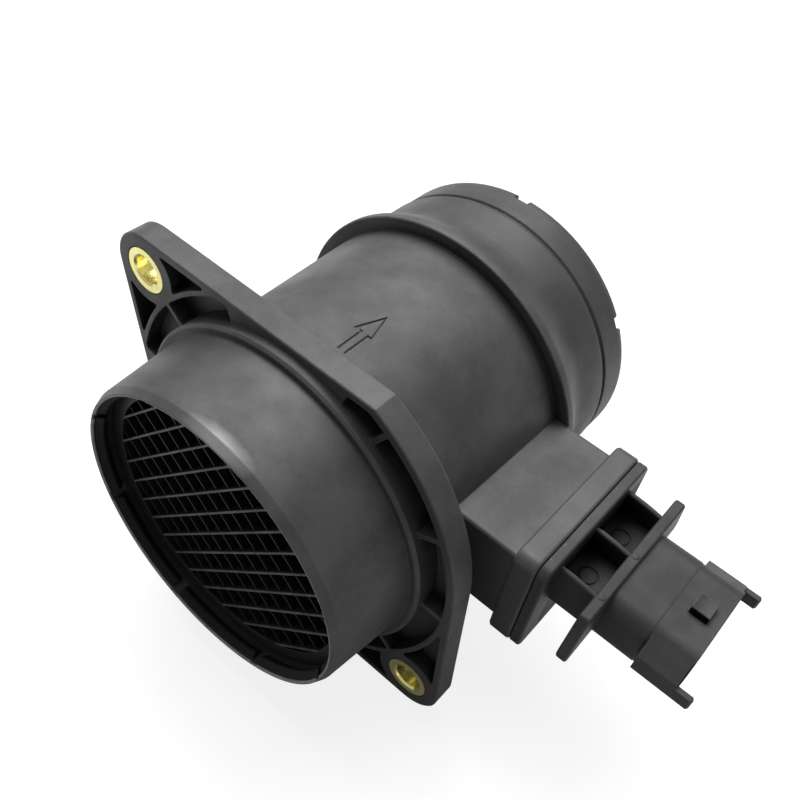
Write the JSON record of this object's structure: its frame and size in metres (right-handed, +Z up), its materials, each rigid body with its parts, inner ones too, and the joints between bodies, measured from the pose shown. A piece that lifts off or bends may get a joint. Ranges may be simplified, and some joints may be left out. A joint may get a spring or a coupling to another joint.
{
  "type": "mass airflow sensor",
  "caption": "Round plastic air duct with a two-hole flange, an inlet grid and a side tower that carries a plug-in airflow sensing module.",
  "frame": {"origin": "duct axis in the plane of the flange's inlet-side face", "axes": "+Y along the air flow from inlet to outlet, +X the way the tower and plug stick out, +Z up, normal to the flange's straight top edge"},
  "size_m": [0.1551, 0.1125, 0.0931],
  "materials": {
    "duct_plastic": "fine moulded grain, slightly satin",
    "grid_plastic": "moulded",
    "module_plastic": "moulded, satin",
    "cover_plastic": "moulded",
    "holder_plastic": "moulded",
    "bush_brass": "turned",
    "plate_metal": "rolled sheet",
    "board_green": "solder resist",
    "chip_black": "moulded",
    "capacitor_tan": "fired ceramic",
    "element_glass": "polished",
    "thermistor_bead": "dipped",
    "seal_rubber": "smooth",
    "terminal_metal": "tin plated"
  },
  "bodies": {
    "root": {"housing": "duct_plastic", "inlet_grid": "grid_plastic", "flange_bush_upper": "bush_brass", "flange_bush_lower": "bush_brass", "sensor_carrier": "module_plastic", "electronics_cover": "cover_plastic", "bypass_cover": "cover_plastic", "base_plate": "plate_metal", "circuit_board": "board_green", "control_chip": "chip_black", "board_capacitor_front": "capacitor_tan", "board_capacitor_rear": "capacitor_tan", "chip_holder": "holder_plastic", "sensor_chip": "element_glass", "temperature_sensor": "thermistor_bead", "module_seal": "seal_rubber", "terminal_1": "terminal_metal", "terminal_2": "terminal_metal", "terminal_3": "terminal_metal", "terminal_4": "terminal_metal", "terminal_5": "terminal_metal"}
  },
  "joints": []
}
